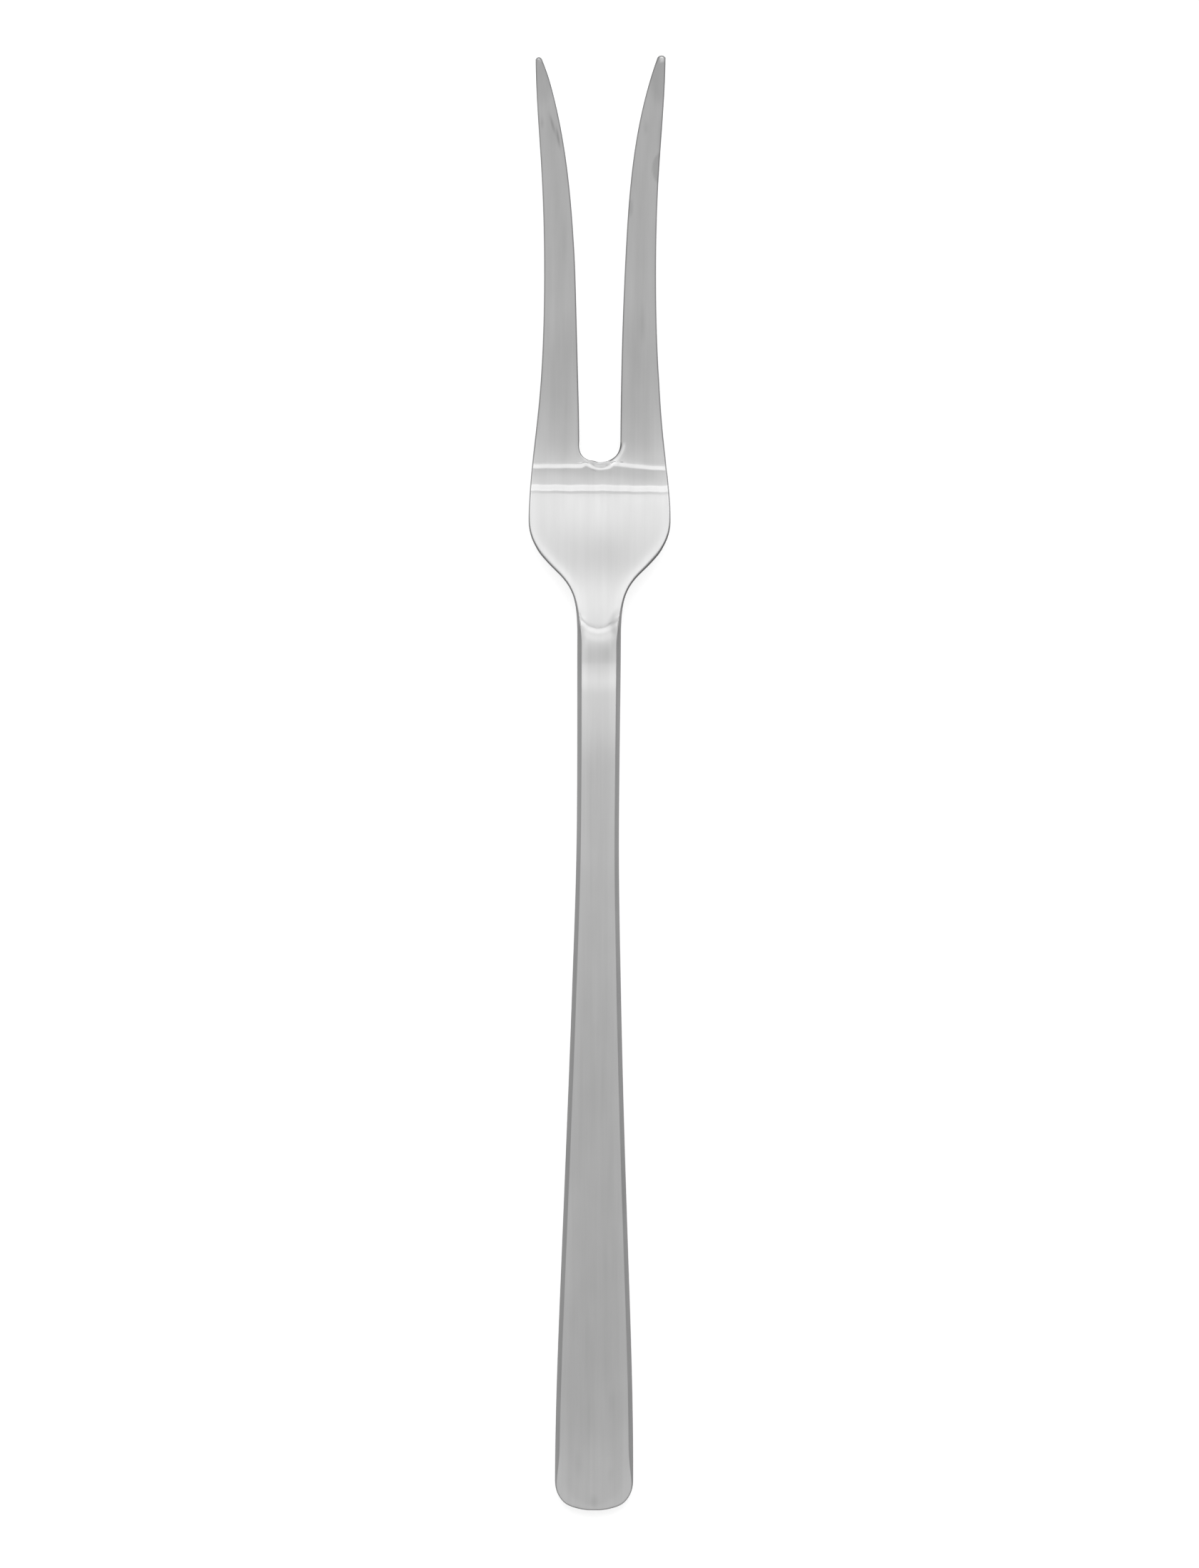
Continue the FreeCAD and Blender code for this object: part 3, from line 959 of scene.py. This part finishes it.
    def section(self, row: Row, closed: bool) -> list[Point]:
        """One section of the skin, from the face round the outer side to the back.

        Args:
            row: the row that the section stands on.
            closed: whether the section goes on round the slot's side.

        Returns:
            The points of the section.
        """
        p = self.profile
        face = []
        for x, y in self.face_points(row):
            inset = self.inset(row, x)
            face.append(Point(x, y, p.front(x, y) + self.rim(row.outer, inset), inset))
        face[-1:] = self.side_points(row.outer, self.bevel(row.outer.station))
        reach = self.back_round + self.trim
        x_out, y_out = row.outer.inside(reach)
        x_in, y_in = row.inner.inside(reach) if row.inner else (0.0, y_out)
        for i in range(self.face_columns - 1, -1, -1):
            share = self.column_share(i)
            x, y = mix(x_in, x_out, share), mix(y_in, y_out, share)
            face.append(Point(x, y, p.back(y), self.inset(row, x)))
        if closed:
            face += self.side_points(row.inner, self.inner_bevel(row.inner.station))[-2:0:-1] + face[:1]
        return face

    def drape(self, bm: bmesh.types.BMesh, sections: list[list[Point]]) -> None:
        """Lays a grid over sections.

        Args:
            bm: the mesh that the grid is added to.
            sections: sections with as many points each, in order.
        """
        columns, rows = len(sections[0]) - 1, len(sections) - 1
        middle = self.outline.length / 2
        inset = bm.verts.layers.float[Layer.INSET.value]
        made = bmesh.ops.create_grid(bm, x_segments=columns, y_segments=rows, size=1.0)
        for vert in made["verts"]:
            i = round((vert.co.x + 1.0) / 2.0 * columns)
            j = round((vert.co.y + 1.0) / 2.0 * rows)
            point = sections[j][i]
            vert.co = (point.x * MM, (point.station - middle) * MM, point.height * MM)
            vert[inset] = point.inset

    def end_sections(self, row: Row) -> list[list[Point]]:
        """Sections of the flat end, from the middle of the fork to its corner.

        Args:
            row: the corner's first row, whose points the sections begin and end on.

        Returns:
            The sections.
        """
        flat = row.outer.x
        first = self.section(row, False)
        sections = []
        for i in range(self.face_columns + 1):
            spot = Spot(flat * self.column_share(i), 0.0, 0.0, -1.0)
            sections.append([first[i]] + self.side_points(spot, self.bevel(0.0))[1:-1] + [first[-1 - i]])
        return sections

    def wear_and_paint_light(self, bm: bmesh.types.BMesh) -> None:
        """Moves every point of the regular skin to where the hand left it, and paints light and shade on
        it.
        """
        middle = self.outline.length / 2
        inset, painted_tone = (bm.verts.layers.float[layer.value] for layer in Layer)
        for vert in bm.verts:
            x, station = self.hand_work.place(vert.co.x / MM, vert.co.y / MM + middle)
            vert.co.x, vert.co.y = x * MM, (station - middle) * MM
            # The front gets its painted light and shade and its spots; every point near an edge gets the
            # edges' painted shade and highlight.
            if vert.co.z / MM > self.profile.back(station) + self.profile.tip_thickness / 2:
                vert[painted_tone] = sum(mark.tone_at(x, station) for mark in PAINTED_LIGHT_AND_SPOTS)
            vert[painted_tone] += self.hand_work.edge_shade_and_highlight(x, station, vert[inset])

    def build(self) -> bpy.types.Object:
        """Makes the fork's mesh and returns its object."""
        bm = bmesh.new()
        for layer in Layer:
            bm.verts.layers.float.new(layer.value)
        handle, tines = self.handle_rows(), self.tine_rows()
        self.drape(bm, [self.section(row, False) for row in handle + tines[:1]])
        self.drape(bm, [self.section(row, True) for row in tines])
        self.drape(bm, self.end_sections(handle[0]))
        weld = self.weld * MM
        half = bm.verts[:] + bm.edges[:] + bm.faces[:]
        bmesh.ops.mirror(bm, geom=half, axis="X", merge_dist=weld)
        bmesh.ops.remove_doubles(bm, verts=bm.verts[:], dist=weld)
        bmesh.ops.dissolve_degenerate(bm, edges=bm.edges[:], dist=weld / 4)
        self.wear_and_paint_light(bm)
        bmesh.ops.recalc_face_normals(bm, faces=bm.faces[:])
        open_edges = sum(1 for edge in bm.edges if not edge.is_manifold)
        for face in bm.faces:
            face.smooth = True
        fork = stand("fork_body", skin(NODE + "_skin", bm))
        weights = fork.modifiers.new("even_shading", "WEIGHTED_NORMAL")
        weights.weight = self.shading_weight
        weights.keep_sharp = True
        LOG.info("fork_body: %d faces, %d open edges", len(fork.data.polygons), open_edges)
        return fork


class Nodes:
    """Adds nodes to one material's or world's tree."""

    def __init__(self, tree: bpy.types.NodeTree) -> None:
        """Keeps the tree and empties it."""
        self.tree = tree
        tree.nodes.clear()

    def put(self, value: object, socket: bpy.types.NodeSocket) -> None:
        """Links a value or an output to a socket, or sets the socket to a constant.

        Args:
            value: what the socket gets.
            socket: the input socket.
        """
        source = value.socket if isinstance(value, Value) else value
        if isinstance(source, bpy.types.NodeSocket):
            self.tree.links.new(source, socket)
        else:
            socket.default_value = source

    def add(self, kind: str, settings: Settings, inputs: Settings) -> bpy.types.Node:
        """Adds a node.

        Args:
            kind: the node's type.
            settings: the node's own settings, set before its sockets.
            inputs: constants, values or outputs by socket name or number.

        Returns:
            The new node.
        """
        node = self.tree.nodes.new(kind)
        for name, value in settings.items():
            setattr(node, name, value)
        for name, value in inputs.items():
            self.put(value, node.inputs[name])
        return node

    def noise(self, place: object, scale: Triple, detail: float) -> "Value":
        """A stretched noise, spread evenly about zero.

        Args:
            place: the coordinates that it is read at.
            scale: how fine it is along each axis, per metre.
            detail: how many finer layers it has.

        Returns:
            The noise.
        """
        spot = self.add("ShaderNodeMapping", {}, {"Vector": place, "Scale": scale})
        inputs = {"Vector": spot.outputs[0], "Scale": 1.0, "Detail": detail}
        return Value(self, self.add("ShaderNodeTexNoise", {}, inputs).outputs[0]) - 0.5

    def layer(self, layer: Layer) -> "Value":
        """A number that the skin carries at each point."""
        node = self.add("ShaderNodeAttribute", {"attribute_name": layer.value}, {})
        return Value(self, node.outputs["Fac"])


@dataclass(frozen=True)
class Value:
    """A number that changes over the surface: one output socket with arithmetic."""

    nodes: Nodes
    socket: bpy.types.NodeSocket

    def _math(self, operation: str, first: object, second: object) -> "Value":
        """A Math node on two numbers or values."""
        node = self.nodes.add("ShaderNodeMath", {"operation": operation}, {0: first, 1: second})
        return Value(self.nodes, node.outputs[0])

    def __add__(self, other: object) -> "Value":
        """This value plus another."""
        return self._math("ADD", self, other)

    __radd__ = __add__

    def __mul__(self, other: object) -> "Value":
        """This value times another."""
        return self._math("MULTIPLY", self, other)

    __rmul__ = __mul__

    def __sub__(self, other: object) -> "Value":
        """This value less another."""
        return self._math("SUBTRACT", self, other)

    def __rsub__(self, other: object) -> "Value":
        """Another value less this one."""
        return self._math("SUBTRACT", other, self)

    def between(self, start: float, stop: float) -> "Value":
        """A smooth rise over this value.

        Args:
            start: where the rise begins, at 0.
            stop: where it ends, at 1.

        Returns:
            The rise.
        """
        inputs = {"Value": self, "From Min": start, "From Max": stop}
        node = self.nodes.add("ShaderNodeMapRange", {"interpolation_type": "SMOOTHSTEP"}, inputs)
        return Value(self.nodes, node.outputs[0])


def finish(name: str) -> tuple[bpy.types.Material, Nodes]:
    """A new material by that name, and what adds nodes to its empty tree."""
    material = bpy.data.materials.new(name)
    material.use_nodes = True
    return material, Nodes(material.node_tree)


@dataclass(frozen=True)
class BrushedSteel:
    """Satin stainless steel, brushed along the fork, with painted shade along its outline and a painted
    sheen near its edges.
    """

    dark: float = 0.22
    light: float = 0.82
    middle: float = 0.5
    grain: float = 0.06
    grain_scale: Triple = (4500.0, 60.0, 1100.0)
    grain_detail: float = 3.0
    streaks: float = 0.10
    streak_scale: Triple = (1100.0, 40.0, 300.0)
    clouds: float = 0.09
    cloud_scale: Triple = (260.0, 120.0, 260.0)
    soft_detail: float = 2.0
    # Painted shade along the outline, and a painted sheen within about two millimetres of the edges.
    outline_shade: float = 0.30
    outline_shade_width: float = 0.14
    edge_sheen: float = 0.045
    edge_sheen_run: Pair = (0.9, 2.2)
    roughness: float = 0.36
    grain_roughness: float = 0.1
    cloud_roughness: float = 0.08
    bump: float = 0.08
    bump_depth: float = 0.00002

    def build(self) -> bpy.types.Material:
        """Makes the material and returns it."""
        material, nodes = finish("brushed_steel_finish")
        place = nodes.add("ShaderNodeTexCoord", {}, {}).outputs["Object"]
        grain = nodes.noise(place, self.grain_scale, self.grain_detail)
        streaks = nodes.noise(place, self.streak_scale, self.soft_detail)
        clouds = nodes.noise(place, self.cloud_scale, self.soft_detail)
        inset = nodes.layer(Layer.INSET)
        tone = grain * self.grain + streaks * self.streaks + clouds * self.clouds
        # Adds the painted light and shade, and the spots of uneven tone, that the skin carries.
        tone = tone + nodes.layer(Layer.PAINTED_TONE) + self.middle
        # Painted shade along the outline, then a painted sheen near the edges.
        tone = tone - (1.0 - inset.between(0.0, self.outline_shade_width)) * self.outline_shade
        tone = tone + (1.0 - inset.between(*self.edge_sheen_run)) * self.edge_sheen
        greys = {0: tone, 6: (self.dark,) * 3 + (1.0,), 7: (self.light,) * 3 + (1.0,)}
        colour = nodes.add("ShaderNodeMix", {"data_type": "RGBA"}, greys)
        relief = {"Height": grain, "Strength": self.bump, "Distance": self.bump_depth}
        bump = nodes.add("ShaderNodeBump", {}, relief)
        rough = grain * self.grain_roughness + clouds * self.cloud_roughness + self.roughness
        looks = {"Base Color": colour.outputs[2], "Roughness": rough, "Normal": bump.outputs[0]}
        shader = nodes.add("ShaderNodeBsdfPrincipled", {}, looks | {"Metallic": 1.0})
        nodes.add("ShaderNodeOutputMaterial", {}, {"Surface": shader.outputs[0]})
        return material


@dataclass(frozen=True)
class Softbox:
    """A soft lamp that faces the fork. Places and sizes are in metres, and a level of 1 is white."""

    name: str
    place: Triple
    width: float
    length: float
    level: float

    def build(self) -> None:
        """Makes the lamp and hangs it."""
        light = bpy.data.lights.new(self.name, "AREA")
        light.shape = "RECTANGLE"
        light.size, light.size_y = self.width, self.length
        light.energy = self.level * math.pi * self.width * self.length
        lamp = stand(self.name, light)
        lamp.location = self.place
        lamp.rotation_euler = (-Vector(self.place)).to_track_quat("-Z", "Y").to_euler()
        lamp.visible_camera = False


@dataclass(frozen=True)
class Studio:
    """Pale floor, soft light and the camera. Sizes are in metres."""

    floor_size: float = 6.0
    floor_drop: float = 0.00002
    floor_grey: float = 0.8
    floor_glow: float = 0.55
    world_level: float = 0.45
    lamps: tuple[Softbox, ...] = (
        Softbox("front_softbox", (0.0, 1.5, 1.8), 2.4, 1.8, 0.98),
        Softbox("high_softbox", (0.0, 1.3, 2.1), 2.4, 2.2, 0.43),
        Softbox("top_softbox", (0.0, 0.0, 2.2), 3.2, 3.2, 0.34),
        Softbox("left_softbox", (-1.5, 0.0, 1.8), 1.4, 2.4, 0.03),
    )
    camera_place: Triple = (0.00014, -0.00012, 6.0)
    camera_turn: float = 0.225
    lens: float = 954.1
    sensor: float = 36.0
    sight: float = 20.0

    def floor_finish(self) -> bpy.types.Material:
        """Matt white that looks white to the camera and keeps the fork's shadow."""
        material, nodes = finish("pale_floor")
        path = nodes.add("ShaderNodeLightPath", {}, {}).outputs
        seen = Value(nodes, path["Is Camera Ray"]) + Value(nodes, path["Is Glossy Ray"])
        seen = seen + Value(nodes, path["Is Transmission Ray"])
        plain = nodes.add("ShaderNodeBsdfDiffuse", {}, {"Color": (self.floor_grey,) * 3 + (1.0,)})
        glow = nodes.add("ShaderNodeEmission", {}, {"Strength": self.floor_glow})
        both = nodes.add("ShaderNodeAddShader", {}, {0: plain.outputs[0], 1: glow.outputs[0]})
        pick = nodes.add("ShaderNodeMixShader", {}, {0: seen, 1: plain.outputs[0], 2: both.outputs[0]})
        nodes.add("ShaderNodeOutputMaterial", {}, {"Surface": pick.outputs[0]})
        return material

    def floor(self) -> None:
        """Makes the plain floor, a hair below the fork."""
        bm = bmesh.new()
        bmesh.ops.create_grid(bm, x_segments=1, y_segments=1, size=self.floor_size / 2)
        floor = stand("floor", skin("floor", bm))
        floor.location = (0.0, 0.0, -self.floor_drop)
        floor.data.materials.append(self.floor_finish())

    def camera(self) -> None:
        """Sets the camera straight above the fork, with the tips at the top of the image."""
        data = bpy.data.cameras.new("camera")
        data.lens = self.lens
        data.sensor_width = self.sensor
        data.clip_end = self.sight
        camera = stand("camera", data)
        camera.location = self.camera_place
        camera.rotation_euler = (0.0, 0.0, math.radians(self.camera_turn))
        bpy.context.scene.camera = camera

    def build(self) -> None:
        """Makes the floor, the world, the lamps and the camera."""
        self.floor()
        world = bpy.data.worlds.new("studio")
        world.use_nodes = True
        nodes = Nodes(world.node_tree)
        sky = nodes.add("ShaderNodeBackground", {}, {"Color": (1.0,) * 4, "Strength": self.world_level})
        nodes.add("ShaderNodeOutputWorld", {}, {"Surface": sky.outputs[0]})
        bpy.context.scene.world = world
        for lamp in self.lamps:
            lamp.build()
        self.camera()
        bpy.context.scene.view_settings.view_transform = "Standard"
        LOG.info("studio: floor, %d lamps and camera", len(self.lamps))


def main() -> None:
    """Builds the fork and the studio, and reports each piece."""
    logging.basicConfig(level=logging.INFO, format="%(name)s: %(message)s")
    Studio().build()
    fork = Fork().build()
    fork.data.materials.append(BrushedSteel().build())
    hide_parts(NODE)
    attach(fork, BODY)


if __name__ == "__main__":
    main()
